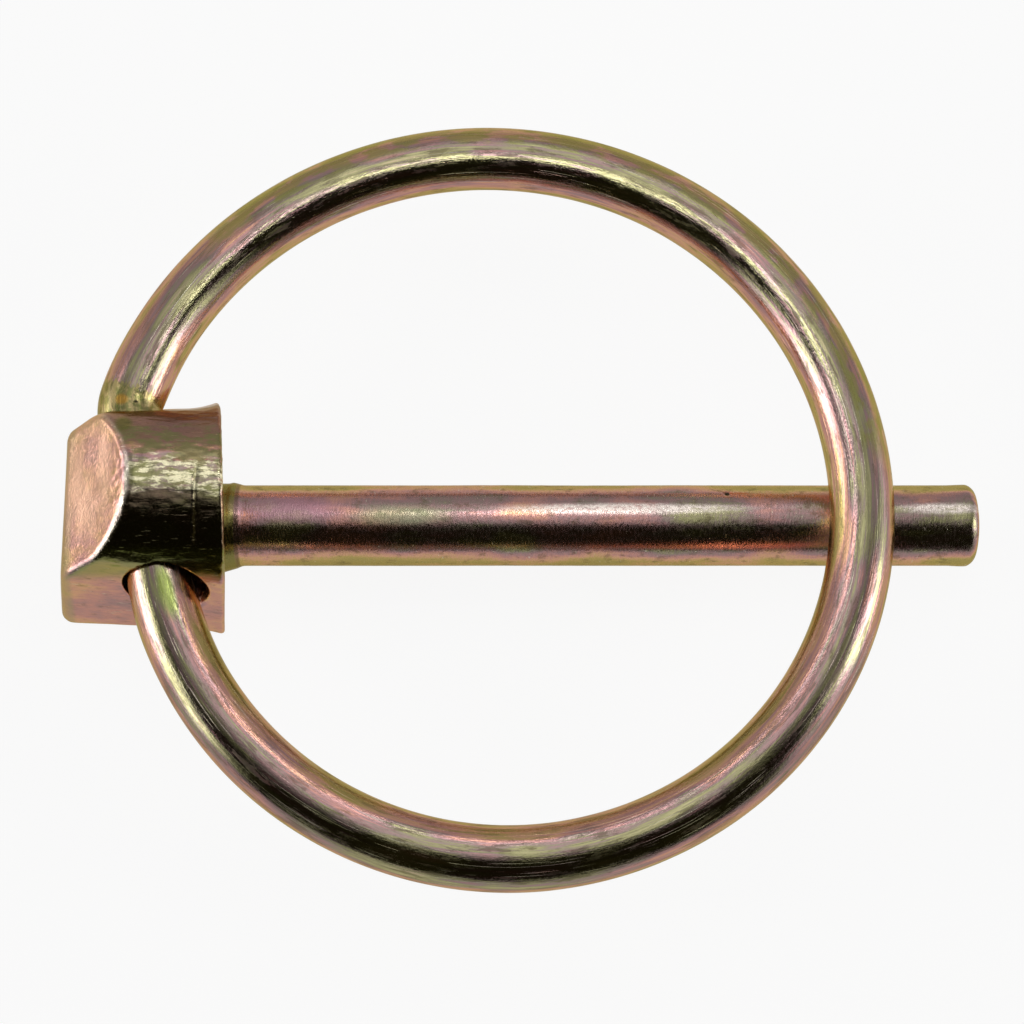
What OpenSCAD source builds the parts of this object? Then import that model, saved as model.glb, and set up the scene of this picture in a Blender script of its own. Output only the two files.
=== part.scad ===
// Lynch pin: a forged pin with a wire ring that swings over and snaps round its shank.
// Millimetres. The shank lies along +X from the head's shoulder. The whole pin is rolled
// about its shank so that it lies as it comes to rest, on the back of its head.

/* [Shank] */
// Diameter of the shank
shank_d = 4.76; // [3:0.01:12]
// Length from the head's shoulder to the tip
shank_length = 44.57; // [36:0.01:70]
// Radius round the edge of the tip
tip_edge_r = 0.6; // [0.2:0.05:1]
// Radius of the domed tip face
tip_dome_r = 8; // [5:0.5:20]
// How far the root collar stands out from the shank
root_step = 0.39; // [0.05:0.01:0.5]
// Length of the root collar's taper
root_length = 1.32; // [0.4:0.02:3]

/* [Head] */
// Length of the head, from shoulder to outer end
head_length = 9.2; // [8.6:0.01:12]
// Width of the head between its flat sides, level with the shank's axis
head_width = 13.5; // [12.8:0.02:15]
// Height of the head's front crest over the shank's axis
head_front = 8.42; // [8:0.02:9.6]
// How far the head's back stands out past the shank
head_back = 0.89; // [0.4:0.01:1.4]
// How far the head sits to one side of the shank
head_offset = 0.55; // [0:0.01:0.8]
// How deep each flat side cuts into the rounded front at the shoulder
side_cut = 0.05; // [0.02:0.01:0.5]
// Radius of the rounded back
back_r = 9.86; // [9:0.02:12]
// Width of the flat along the middle of the back, which the pin lies on
back_flat = 3.6; // [2.4:0.1:5]
// Slant of each flat side, in towards the front
side_slant = 17.5; // [14:0.1:20]
// Narrowing of each flat side towards the outer end
side_taper = 2.84; // [1:0.02:5]
// How far the head leans forward over the shank
head_lean = 4.87; // [0:0.01:7]
// How far the head is turned about the shank
head_turn = 1.8; // [-3:0.1:3]
// Radius of the long edges beside the rounded front
front_edge_r = 2.09; // [1:0.01:2.4]
// Radius of the long edges beside the rounded back
back_edge_r = 0.6; // [0.56:0.02:1]
// Lean of the shoulder face past square, out towards the front
shoulder_draft = 2.2; // [0:0.1:4]
// Skew of the shoulder face, from one flat side to the other
shoulder_skew = 3.3; // [0:0.1:4]
// Radius round the shoulder
shoulder_edge_r = 0.3; // [0.1:0.05:0.4]
// How far the sides flare out at the shoulder
flare_height = 0.27; // [0:0.01:0.5]
// Length of the flare along the head
flare_length = 2.2; // [1:0.1:3]

/* [Head end] */
// Slope of the bevel on the outer front corner
bevel_slope = 48.4; // [44:0.1:54]
// Length of crest left between the bevel and the shoulder
crest_length = 5.14; // [4.6:0.01:6]
// Radius from the bevel into the outer end
bevel_low_r = 1.6; // [0.4:0.05:1.8]
// Lean of the outer end, in towards the front
end_draft = 1.9; // [0:0.1:5]
// Radius round the outer end
end_edge_r = 0.5; // [0.2:0.05:0.55]
// Slope of the second bevel, on the outer corner of one flat side
side_bevel_slope = 32; // [25:1:45]
// Length of the second bevel along the head
side_bevel_length = 2.26; // [1:0.1:3.2]

/* [Ring] */
// Diameter of the ring's wire
wire_d = 3.7; // [2.5:0.05:4]
// Centreline radius of the ring's near side and lower half
ring_r = 20.29; // [19:0.05:24]
// Heading at which the ring widens into its upper half
ring_widens_at = 71.4; // [60:0.1:80]
// Angle of the bend that turns the ring's upper end into the hole
end_bend = 29.7; // [20:0.1:35]
// Centreline radius of that bend
end_bend_r = 2.66; // [2.6:0.02:4]
// Length of the straight end inside the hole
pivot_length = 2.6; // [1.5:0.1:3]
// Chamfer on the cut ends of the wire
pivot_chamfer = 0.4; // [0.1:0.05:0.6]
// Gap between the closed ring and the shank
ring_gap = 0.03; // [0.02:0.01:0.2]

/* [Hinge hole] */
// Radial clearance of the hole round the wire
hole_clearance = 0.5; // [0.4:0.01:0.8]
// How far the hole's middle sits off the wire's, towards the shoulder
hole_shift = 0.22; // [0:0.01:0.3]
// How far the hole's middle sits off the wire's, back towards the shank's axis
hole_drop = 0.3; // [0:0.01:0.3]
// Slant of the hole, away from square to the shank
hole_slant = 12.5; // [8:0.1:16]
// Distance of the hinge line behind the shoulder, where it crosses the shank's axis
hole_setback = 3.91; // [3.6:0.01:6]
// Distance along the hinge line to where the ring's lower end starts to curve
lower_end_at = 4.55; // [4:0.05:6]
// Extra radius of the countersink at the ring's bent end
countersink = 0.4; // [0.2:0.05:0.8]

/* [Hidden] */

// Steps along each side of the rounded back, the corners and the rounded front of the head's
// outline.
back_steps = 12;
corner_steps = 5;
front_steps = 8;

// Steps round the shoulder's edge, along the flare, round the outer end and under the bevel.
shoulder_steps = 3;
flare_steps = 5;
end_steps = 4;
low_steps = 4;

// Steps along the edge and along the dome of the tip, and how far the tip laps the shank.
tip_edge_steps = 8;
tip_dome_steps = 5;
tip_lap = 0.2;

// Facets round the shank and its hole, round the wire and round the ring.
shank_facets = 96;
wire_facets = 48;
ring_facets = 180;

// The sleeves that join the lengths of wire: how far each stands proud, its length, and the
// gap between two lengths inside it.
seam_step = 0.04;
seam_length = 0.3;
seam_gap = 0.06;

shank_r = shank_d / 2;
wire_r = wire_d / 2;
ring_z = shank_r + wire_r + ring_gap;
hole_r = wire_r + hole_clearance;

// The tip's edge as an arc that touches the shank's side and the dome, seen from the centre
// of the dome, and the height at which the tip starts.
tip_touch = asin((shank_r - tip_edge_r) / (tip_dome_r - tip_edge_r));
tip_edge_centre = [shank_r - tip_edge_r, (tip_dome_r - tip_edge_r) * cos(tip_touch)];
tip_base = tip_edge_centre.y - tip_lap;

// The rounded front's radius, and the centres of the head's front and back arcs.
flat_reach = head_width / 2 * cos(side_slant);
front_r = (flat_reach - head_front * sin(side_slant) + side_cut) / (1 - sin(side_slant));
front_z = head_front - front_r;
back_z = back_r - shank_r - head_back;

// Bearing of the edge of the back's flat, seen from the centre of the back's arc, and the
// roll about the shank that lays the flat level.
back_flat_turn = asin(back_flat / 2 / back_r) - 90;
rest_roll = atan(tan(head_turn) / cos(head_lean));

// The upper half's radius that brings both ends of the wire onto one straight hinge line.
bend_drift = end_bend_r * (1 - cos(end_bend));
upper_r = (ring_r * (1 + sin(ring_widens_at)) - bend_drift) / (cos(end_bend) + sin(ring_widens_at));

// Points of the ring's centreline in the hinge's own plane, with +Y up the hinge line.
lower_start = [0, -lower_end_at];
ring_centre = lower_start + [ring_r, 0];
upper_start = ring_centre + ring_r * [sin(ring_widens_at), -cos(ring_widens_at)];
upper_centre = upper_start - upper_r * [sin(ring_widens_at), -cos(ring_widens_at)];
bend_start = upper_centre + upper_r * [-cos(end_bend), sin(end_bend)];
bend_centre = bend_start + end_bend_r * [cos(end_bend), -sin(end_bend)];
bend_end = bend_centre - [end_bend_r, 0];

// Points along an arc, from angle a to angle b about the centre c, in a number of steps.
function arc(c, r, a, b, steps) =
    [for (i = [0 : steps]) let (t = a + (b - a) * i / steps) c + r * [cos(t), sin(t)]];

// Centre of an arc of radius r that touches a circle (centre [0, z], radius big) and the
// right-hand flat side from inside. The flat stands half_width from the middle at z = 0 and
// slants inwards. The side picks the upper (1) or the lower (-1) of the two such places.
function corner_centre(z, big, r, side, half_width) =
    let (
        n = [cos(side_slant), sin(side_slant)],
        reach = half_width * cos(side_slant) - r,
        off = reach - z * n.y,
        along = sqrt(pow(big - r, 2) - pow(off, 2))
    )
    [0, z] + off * n + side * along * [-n.y, n.x];

function bearing(from, to) = atan2(to.y - from.y, to.x - from.x);

// Half of the head's cross-section, from the edge of its back's flat to the middle of its
// front: x is across the head and y is up. The inset draws it in evenly all round.
function half_outline(half_width, inset) =
    let (
        high = corner_centre(front_z, front_r, front_edge_r, 1, half_width),
        low = corner_centre(back_z, back_r, back_edge_r, -1, half_width),
        back_turn = bearing([0, back_z], low),
        front_turn = bearing([0, front_z], high)
    )
    concat(
        arc([0, back_z], back_r - inset, back_flat_turn, back_turn, back_steps),
        arc(low, back_edge_r - inset, back_turn, side_slant, corner_steps),
        arc(high, front_edge_r - inset, side_slant, front_turn, corner_steps),
        arc([0, front_z], front_r - inset, front_turn, 90, front_steps));

// The whole cross-section, once round.
function outline(half_width, inset) =
    let (half = half_outline(half_width, inset), last = len(half) - 1)
    concat(half, [for (i = [last - 1 : -1 : 0]) [-half[i].x, half[i].y]]);

// How much the flare widens the head, at a distance back from the shoulder.
function flare_at(distance) =
    1 + 2 * flare_height / head_width * pow(max(0, 1 - distance / flare_length), 2);

// How far a point q of the cross-section leans forward, at a distance back from the shoulder:
// with the shoulder face at one end and with the outer end's draft at the other.
function lean_at(distance, q) =
    let (
        part = distance / head_length,
        shoulder_lean = q.y * tan(shoulder_draft) - (q.x + head_offset) * tan(shoulder_skew)
    )
    (1 - part) * shoulder_lean + part * q.y * tan(end_draft);

// A rounded edge of radius r at one end of the head: how far back, and how far in, it is
// after step i of the steps from the end's flat face (0) to the head's side.
function edge_at(r, i, steps) = r * [1 - cos(90 * i / steps), 1 - sin(90 * i / steps)];

// Places along the head where its cross-section is laid down, each with its inset. The first
// one stands a little proud of the shoulder, which is then cut flat.
shoulder_round = [for (i = [0 : shoulder_steps]) edge_at(shoulder_edge_r, i, shoulder_steps)];
flare_step = (flare_length - shoulder_edge_r) / flare_steps;
stations = concat(
    [1.5 * shoulder_round[0] - 0.5 * shoulder_round[1]],
    [for (i = [1 : shoulder_steps]) shoulder_round[i]],
    [for (i = [1 : flare_steps]) [shoulder_edge_r + flare_step * i, 0]],
    [for (i = [end_steps : -1 : 0])
        let (edge = edge_at(end_edge_r, i, end_steps))
            [head_length - edge.x, edge.y]]);

// The head's body as a skin over its cross-sections.
module head_body() {
    rows = [for (s = stations) outline(head_width / 2 - s[0] * tan(side_taper), s[1])];
    count = len(rows[0]);
    points = [
        for (j = [0 : len(rows) - 1])
            let (distance = stations[j][0])
            for (p = rows[j])
                let (q = [p.x * flare_at(distance), p.y])
                    [lean_at(distance, q) - distance, q.x, q.y]
    ];
    sides = [
        for (j = [0 : len(rows) - 2])
            for (i = [0 : count - 1])
                let (a = j * count + i, b = j * count + (i + 1) % count)
                for (face = [[a, b, b + count], [a, b + count, a + count]])
                    face
    ];
    shoulder = [for (i = [count - 1 : -1 : 0]) i];
    outer_end = [for (i = [0 : count - 1]) (len(rows) - 1) * count + i];
    polyhedron(points, concat(sides, [shoulder, outer_end]));
}

// Outline of what the bevel takes off, seen from the side: x along the shank and y up.
module bevel_outline() {
    far = 2 * head_length;
    down = [-cos(bevel_slope), -sin(bevel_slope)];
    crest = [-crest_length, head_front];
    across = 1 / tan(bevel_slope) - tan(end_draft);
    fall = (head_length - crest_length - head_front * tan(end_draft)) / across;
    corner = crest + fall / sin(bevel_slope) * down;
    start = 90 + bevel_slope;
    finish = 180 - end_draft;
    half_turn = (finish - start) / 2;
    towards_corner = [cos(start + half_turn), sin(start + half_turn)];
    centre = corner - bevel_low_r / cos(half_turn) * towards_corner;
    last = finish - half_turn / 3;
    low = arc(centre, bevel_low_r, start, last, low_steps);
    foot = low[low_steps] + far * [-sin(last), cos(last)];
    outside = [[foot.x - far, foot.y], [foot.x - far, crest.y + far]];
    polygon(concat([crest - far * down], low, [foot], outside));
}

// What the second bevel takes off one flat side.
module side_bevel() {
    far = 2 * head_length;
    rotate([side_slant, 0, 0])
        translate([side_bevel_length - head_length, 0, -far / 2])
            translate([0, flat_reach - (head_length - side_bevel_length) * sin(side_taper), 0])
                rotate([0, 0, side_taper + side_bevel_slope])
                    translate([-far, 0, 0])
                        cube(far);
}

// What is cut off in front of the shoulder, whose plane runs through the shank's axis.
module shoulder_cut() {
    far = 2 * head_width;
    tip_over = atan(tan(shoulder_draft) * cos(shoulder_skew));
    translate([0, -head_offset, 0])
        rotate([0, tip_over, shoulder_skew])
            translate([0, -far / 2, -far / 2])
                cube(far);
}

// The head in its own upright frame, with the middle of its shoulder at the origin.
module head_block() {
    span = 2 * head_width;
    difference() {
        head_body();
        rotate([90, 0, 0])
            translate([0, 0, -span / 2])
                linear_extrude(span)
                    bevel_outline();
        side_bevel();
        shoulder_cut();
    }
}

// Shank with its rounded tip and the tapered collar at its root.
module shank() {
    dome_x = shank_length - tip_dome_r;
    rotate([0, 90, 0]) {
        translate([0, 0, -shank_r])
            cylinder(r = shank_r, h = shank_r + dome_x + tip_base + tip_lap / 2, $fn = shank_facets);
        translate([0, 0, -shank_r / 2])
            cylinder(r = shank_r + root_step, h = shank_r / 2, $fn = shank_facets);
        cylinder(r1 = shank_r + root_step, r2 = shank_r, h = root_length, $fn = shank_facets);
        translate([0, 0, dome_x])
            rotate_extrude($fn = shank_facets)
                tip_section();
    }
}

// Half-section of the tip, about the centre of its dome.
module tip_section() {
    polygon(concat(
        [[0, tip_base], [shank_r, tip_base]],
        arc(tip_edge_centre, tip_edge_r, 0, 90 - tip_touch, tip_edge_steps),
        arc([0, 0], tip_dome_r, 90 - tip_touch, 90, tip_dome_steps)));
}

// Moves its children onto the hinge line: +Y runs up the hole and z = 0 is the ring's plane.
module at_hinge() {
    translate([-hole_setback, 0, ring_z])
        rotate([0, 0, hole_slant])
            children();
}

// The slanted hole, with a 45 degree countersink round the middle of the ring's end bend.
module hinge_hole() {
    reach = 2 * head_width;
    sink_reach = head_width / 2;
    sink_at = bend_end.y + end_bend_r * sin(end_bend) / 2 - countersink;
    at_hinge() {
        rotate([90, 0, 0])
            translate([hole_shift, -hole_drop, -reach / 2])
                cylinder(r = hole_r, h = reach, $fn = shank_facets);
        translate([hole_shift, sink_at, -hole_drop])
            rotate([-90, 0, 0])
                cylinder(r1 = hole_r, r2 = hole_r + sink_reach, h = sink_reach, $fn = shank_facets);
    }
}

module pin_body() {
    color([0.62, 0.56, 0.36])
        rotate([-rest_roll, 0, 0])
            difference() {
                union() {
                    rotate([0, head_lean, 0])
                        rotate([head_turn, 0, 0])
                            translate([0, head_offset, 0])
                                head_block();
                    shank();
                }
                hinge_hole();
            }
}

// A length of round wire on an arc about centre c, from angle a to angle b. Each end stops
// half a seam_gap short, inside the sleeve that joins it to the next length.
module wire_arc(c, r, a, b) {
    trim = asin(seam_gap / 2 / r);
    translate([c.x, c.y, 0])
        rotate([0, 0, a + trim])
            rotate_extrude(angle = b - a - 2 * trim, $fn = ring_facets)
                translate([r, 0])
                    circle(r = wire_r, $fn = wire_facets);
}

// Short sleeve that joins two lengths of wire at a point where the wire runs along heading.
module seam(point, heading) {
    translate([point.x, point.y, 0])
        rotate([0, 0, heading])
            rotate([0, 90, 0])
                cylinder(r = wire_r + seam_step, h = seam_length, center = true, $fn = wire_facets);
}

// The straight end of the wire, from the point where the ring starts to its cut face, up (1)
// or down (-1) the hinge line.
module pivot(start, toward) {
    straight = pivot_length - pivot_chamfer;
    translate([start.x, start.y, 0])
        rotate([-90 * toward, 0, 0]) {
            translate([0, 0, seam_gap / 2])
                cylinder(r = wire_r, h = straight - seam_gap / 2, $fn = wire_facets);
            translate([0, 0, straight])
                cylinder(r1 = wire_r, r2 = wire_r - pivot_chamfer, h = pivot_chamfer, $fn = wire_facets);
        }
}

module ring() {
    color([0.66, 0.60, 0.40])
        rotate([-rest_roll, 0, 0])
            at_hinge() {
                pivot(lower_start, 1);
                wire_arc(ring_centre, ring_r, 180, 270 + ring_widens_at);
                wire_arc(upper_centre, upper_r, ring_widens_at - 90, 180 - end_bend);
                wire_arc(bend_centre, end_bend_r, 180 - end_bend, 180);
                pivot(bend_end, -1);
                seam(lower_start, 90);
                seam(upper_start, ring_widens_at);
                seam(bend_start, 90 - end_bend);
                seam(bend_end, 90);
            }
}

pin_body();
ring();
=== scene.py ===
"""A lynch pin in yellow-passivated steel, lying on a pale floor: a forged head with a round
shank, and a wire ring that swings in the head and closes over the shank.

Lengths are in millimetres until a mesh is made, and angles are in degrees. Blender's own
lengths, which the camera, floor and lamps use, are in metres."""

import math

import bmesh
import bpy
import numpy as np
from mathutils import Matrix, Vector


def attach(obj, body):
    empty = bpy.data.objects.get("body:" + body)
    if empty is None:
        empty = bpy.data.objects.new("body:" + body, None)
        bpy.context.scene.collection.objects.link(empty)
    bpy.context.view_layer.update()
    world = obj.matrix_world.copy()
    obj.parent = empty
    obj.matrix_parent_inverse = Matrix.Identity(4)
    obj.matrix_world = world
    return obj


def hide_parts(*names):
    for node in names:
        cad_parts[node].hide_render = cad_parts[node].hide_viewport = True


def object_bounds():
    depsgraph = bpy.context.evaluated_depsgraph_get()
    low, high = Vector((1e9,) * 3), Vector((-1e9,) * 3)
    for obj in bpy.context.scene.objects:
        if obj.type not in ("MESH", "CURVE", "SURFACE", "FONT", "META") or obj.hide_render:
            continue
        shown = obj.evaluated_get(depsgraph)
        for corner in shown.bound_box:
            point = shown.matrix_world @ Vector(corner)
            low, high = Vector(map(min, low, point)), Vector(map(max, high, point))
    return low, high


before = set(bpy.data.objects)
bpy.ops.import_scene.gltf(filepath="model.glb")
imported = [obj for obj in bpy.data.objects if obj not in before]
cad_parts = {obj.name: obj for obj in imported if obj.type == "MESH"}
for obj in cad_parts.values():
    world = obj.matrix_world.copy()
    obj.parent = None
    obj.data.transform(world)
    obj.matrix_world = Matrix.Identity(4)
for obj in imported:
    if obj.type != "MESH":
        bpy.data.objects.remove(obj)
CAD_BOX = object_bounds()

MM = 0.001

# ---------------------------------------------------------------- sizes, as in the CAD model

# The shank, along +X from the head's shoulder.
SHANK_R = 2.38
SHANK_LENGTH = 44.57
TIP_EDGE_R = 0.6
TIP_DOME_R = 8.0

# The head, from the shoulder to its outer end. Its front faces up and its back lies down.
HEAD_LENGTH = 9.2
HEAD_WIDTH = 13.5  # between its flat sides, level with the shank's axis
HEAD_FRONT = 8.42  # the front's height over the shank's axis
HEAD_BACK = 0.89  # how far the back stands out past the shank
HEAD_OFFSET = 0.55  # how far the head sits to one side of the shank
SIDE_CUT = 0.05  # how deep each flat side cuts into the rounded front
BACK_R = 9.86
BACK_FLAT = 3.6
SIDE_SLANT = 17.5  # of each flat side, in towards the front
SIDE_TAPER = 2.84  # of each flat side, towards the outer end
HEAD_LEAN = 4.87  # forward, over the shank
HEAD_TURN = 1.8  # about the shank
FRONT_EDGE_R = 2.09
BACK_EDGE_R = 0.6
SHOULDER_DRAFT = 2.2  # lean of the shoulder face, out towards the front
SHOULDER_SKEW = 3.3  # from one flat side to the other
SHOULDER_EDGE_R = 0.3
FLARE_HEIGHT = 0.27  # how far the sides flare out at the shoulder
FLARE_LENGTH = 2.2
BEVEL_SLOPE = 48.4
CREST_LENGTH = 5.14  # what the bevel leaves of the front
BEVEL_LOW_R = 1.6  # from the bevel into the outer end
END_DRAFT = 1.9  # lean of the outer end, in towards the front
SIDE_BEVEL_SLOPE = 32.0
SIDE_BEVEL_LENGTH = 2.26

# The ring's wire. Its two ends lie on one line, the hinge.
WIRE_R = 1.85
RING_R = 20.29
RING_WIDENS_AT = 71.4  # the heading at which the ring turns into its wider upper half
END_BEND = 29.7  # of the upper end, into the hole
END_BEND_R = 2.66
PIVOT_LENGTH = 2.6  # of the straight ends inside the hole
PIVOT_CHAMFER = 0.4
RING_GAP = 0.03  # between the closed ring and the shank

# The hole for the ring's ends, across the head.
HOLE_CLEARANCE = 0.5
HOLE_SHIFT = 0.22  # the hole's middle off the wire's, towards the shoulder
HOLE_DROP = 0.3  # and back towards the shank's axis
HOLE_SLANT = 12.5  # away from square to the shank
HOLE_SETBACK = 3.91  # the hinge behind the shoulder, where it crosses the shank's axis
LOWER_END_AT = 4.55  # along the hinge, to where the ring's lower end starts to curve
COUNTERSINK = 0.4

RING_Z = SHANK_R + WIRE_R + RING_GAP
HOLE_R = WIRE_R + HOLE_CLEARANCE
FLAT_REACH = HEAD_WIDTH / 2 * math.cos(math.radians(SIDE_SLANT))
FRONT_R = (FLAT_REACH - HEAD_FRONT * math.sin(math.radians(SIDE_SLANT)) + SIDE_CUT) / (
    1 - math.sin(math.radians(SIDE_SLANT))
)
FRONT_Z = HEAD_FRONT - FRONT_R
BACK_Z = BACK_R - SHANK_R - HEAD_BACK
BACK_FLAT_Z = BACK_Z - math.sqrt(BACK_R**2 - (BACK_FLAT / 2) ** 2)


def turned(axis, degrees):
    return np.array(Matrix.Rotation(math.radians(degrees), 3, axis))


# The roll about the shank that lays the flat of the head's back on the floor.
REST_ROLL = math.degrees(
    math.atan(math.tan(math.radians(HEAD_TURN)) / math.cos(math.radians(HEAD_LEAN)))
)
ROLL = turned("X", -REST_ROLL)
HEAD_TURNS = turned("Y", HEAD_LEAN) @ turned("X", HEAD_TURN)
HINGE_TURN = turned("Z", HOLE_SLANT)


def direction(degrees):
    return np.array([math.cos(math.radians(degrees)), math.sin(math.radians(degrees))])


# The ring's centreline in the hinge's plane, with +Y up the hinge line.
LOWER_START = np.array([0.0, -LOWER_END_AT])
RING_CENTRE = LOWER_START + [RING_R, 0]
BEND_DRIFT = END_BEND_R * (1 - math.cos(math.radians(END_BEND)))
UPPER_R = (RING_R * (1 + math.sin(math.radians(RING_WIDENS_AT))) - BEND_DRIFT) / (
    math.cos(math.radians(END_BEND)) + math.sin(math.radians(RING_WIDENS_AT))
)
UPPER_CENTRE = RING_CENTRE + (RING_R - UPPER_R) * direction(RING_WIDENS_AT - 90)
BEND_CENTRE = UPPER_CENTRE + (UPPER_R - END_BEND_R) * direction(180 - END_BEND)
BEND_END = BEND_CENTRE - [END_BEND_R, 0]


def to_head(p):
    """Points of the part's frame, in the head's own upright frame."""
    return p @ ROLL @ HEAD_TURNS - [0, HEAD_OFFSET, 0]


def from_head(p):
    return (p + [0, HEAD_OFFSET, 0]) @ HEAD_TURNS.T @ ROLL.T


def to_hinge(p):
    """Points of the part's frame, in the hinge's frame, whose Y runs up the hinge line."""
    return (p @ ROLL - [-HOLE_SETBACK, 0, RING_Z]) @ HINGE_TURN


def from_hinge(p):
    return (p @ HINGE_TURN.T + [-HOLE_SETBACK, 0, RING_Z]) @ ROLL.T


# ---------------------------------------------------------------- mesh helpers


def make_object(name, points, faces, attributes):
    """A smooth mesh object in the part's own frame, from points in millimetres. An attribute
    holds one number or one vector for each point."""
    mesh = bpy.data.meshes.new(name)
    mesh.from_pydata((points * MM).tolist(), [], faces)
    mesh.shade_smooth()
    for key, values in attributes.items():
        kind, field = ("FLOAT_VECTOR", "vector") if values.ndim == 2 else ("FLOAT", "value")
        layer = mesh.attributes.new(key, kind, "POINT")
        layer.data.foreach_set(field, values.astype(np.float32).ravel())
    made = bpy.data.objects.new(name, mesh)
    bpy.context.scene.collection.objects.link(made)
    return made


def grid_faces(rows, around):
    """Quads between rings of points, with one many-sided face on each end."""
    faces = []
    for j in range(rows - 1):
        this_ring, next_ring = j * around, (j + 1) * around
        for i in range(around):
            k = (i + 1) % around
            faces.append((this_ring + i, this_ring + k, next_ring + k, next_ring + i))
    faces.append(tuple(range(around - 1, -1, -1)))
    faces.append(tuple((rows - 1) * around + i for i in range(around)))
    return faces


def outward(made):
    """Turns every face of a closed mesh outwards."""
    bm = bmesh.new()
    bm.from_mesh(made.data)
    bmesh.ops.recalc_face_normals(bm, faces=bm.faces)
    bm.to_mesh(made.data)
    bm.free()


def smoothstep(low, high, x):
    t = np.clip((x - low) / (high - low), 0, 1)
    return t * t * (3 - 2 * t)


LATTICE_SEED = 7
LATTICE_SIZE = 64
LATTICE = (
    np.random.default_rng(LATTICE_SEED).uniform(-1, 1, (LATTICE_SIZE,) * 3).astype(np.float32)
)


def noise(points, size, shift=0.0):
    """Smooth noise from -1 to 1 whose lumps are about size across; size may be one per axis.
    shift moves it to another part of the lattice."""
    p = points / np.asarray(size, float) + shift
    base = np.floor(p)
    t = p - base
    t = t * t * (3 - 2 * t)
    i = base.astype(int) % LATTICE_SIZE
    j = (i + 1) % LATTICE_SIZE
    total = 0
    for vertex in range(8):
        pick = [(vertex >> axis) & 1 for axis in range(3)]
        at = [np.where(pick[a], j[:, a], i[:, a]) for a in range(3)]
        weight = 1
        for a in range(3):
            weight = weight * (t[:, a] if pick[a] else 1 - t[:, a])
        total = total + weight * LATTICE[at[0], at[1], at[2]]
    return total


def lumps(points, layers):
    """The sum of layers of noise, each with its depth, the size of its lumps and its shift."""
    return sum(depth * noise(points, size, shift) for depth, size, shift in layers)


# ---------------------------------------------------------------- the head, as a distance field


def rounded(a, b, r):
    """Where both distances hold, with the edge between them rounded to radius r."""
    inner = np.minimum(np.maximum(a + r, b + r), 0)
    return inner + np.hypot(np.maximum(a + r, 0), np.maximum(b + r, 0)) - r


def arc_between(v, n1, n2, r, first, second):
    """Distance to an exact arc of radius r between the directions n1 and n2, about the centre
    that v starts from. Beyond them it is the distance to the first or the second side."""
    past_first = n1[0] * v[1] - n1[1] * v[0]
    before_second = v[0] * n2[1] - v[1] * n2[0]
    on_arc = (past_first > 0) & (before_second > 0)
    return np.where(on_arc, np.hypot(v[0], v[1]) - r, np.maximum(first, second))


def outline_distance(y, z, half_width):
    """Distance to the head's cross-section, a curved front and back with slanted flat sides
    between them; y across and z up."""
    slant = math.radians(SIDE_SLANT)
    across = np.abs(y)
    n = (math.cos(slant), math.sin(slant))
    flat = across * n[0] + z * n[1] - half_width * n[0]
    front = np.hypot(across, z - FRONT_Z) - FRONT_R
    back = np.hypot(across, z - BACK_Z) - BACK_R
    total = BACK_FLAT_Z - z
    # A rounded edge of radius r joins each flat side to the big curve at one end of it.
    for centre_z, big, r, side, curve in (
        (FRONT_Z, FRONT_R, FRONT_EDGE_R, 1, front),
        (BACK_Z, BACK_R, BACK_EDGE_R, -1, back),
    ):
        off = half_width * n[0] - r - centre_z * n[1]
        along = side * np.sqrt(np.maximum((big - r) ** 2 - off**2, 0))
        edge_y = off * n[0] - along * n[1]
        edge_z = centre_z + off * n[1] + along * n[0]
        norm = np.hypot(edge_y, edge_z - centre_z)
        far = (edge_y / norm, (edge_z - centre_z) / norm)
        v = (across - edge_y, z - edge_z)
        n1, n2 = (n, far) if side > 0 else (far, n)
        beyond = side * (v[1] * n[0] - v[0] * n[1]) > 0
        round_end = arc_between(v, n1, n2, r, flat, curve)
        total = np.maximum(total, np.where(beyond, round_end, flat))
    return total


def bevel_distance(x, z):
    """Distance to the bevel on the outer front corner, with its curve into the outer end. A
    plane takes over from the curve on the last sixth of its turn."""
    slope, draft = math.radians(BEVEL_SLOPE), math.radians(END_DRAFT)
    n = np.array([-math.sin(slope), math.cos(slope)])
    across = 1 / math.tan(slope) - math.tan(draft)
    fall = (HEAD_LENGTH - CREST_LENGTH - HEAD_FRONT * math.tan(draft)) / across
    crest = np.array([-CREST_LENGTH, HEAD_FRONT])
    low = crest - fall / math.sin(slope) * np.array([math.cos(slope), math.sin(slope)])
    start, finish = 90 + BEVEL_SLOPE, 180 - END_DRAFT
    half = (finish - start) / 2
    centre = low - BEVEL_LOW_R / math.cos(math.radians(half)) * direction(start + half)
    last = direction(finish - half / 3)
    plane = (x - crest[0]) * n[0] + (z - crest[1]) * n[1]
    v = (x - centre[0], z - centre[1])
    foot = v[0] * last[0] + v[1] * last[1] - BEVEL_LOW_R
    return arc_between(v, n, last, BEVEL_LOW_R, plane, foot)


def side_bevel_distance(p):
    """Distance to the second bevel, on the outer corner of one flat side."""
    slant, turn = math.radians(SIDE_SLANT), math.radians(SIDE_TAPER + SIDE_BEVEL_SLOPE)
    start = HEAD_LENGTH - SIDE_BEVEL_LENGTH
    reach = FLAT_REACH - start * math.sin(math.radians(SIDE_TAPER))
    y = p[:, 1] * math.cos(slant) + p[:, 2] * math.sin(slant)
    return (p[:, 0] + start) * -math.sin(turn) + (y - reach) * math.cos(turn)


# The radii of the head's worn edges, and how much more its upper side flares.
END_RIM_R = 0.7
SIDE_RIM_R = 0.45
BEVEL_RIM_R = 0.36
MOUTH_RIM_R = 0.14
UPPER_FLARE = 0.15


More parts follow.
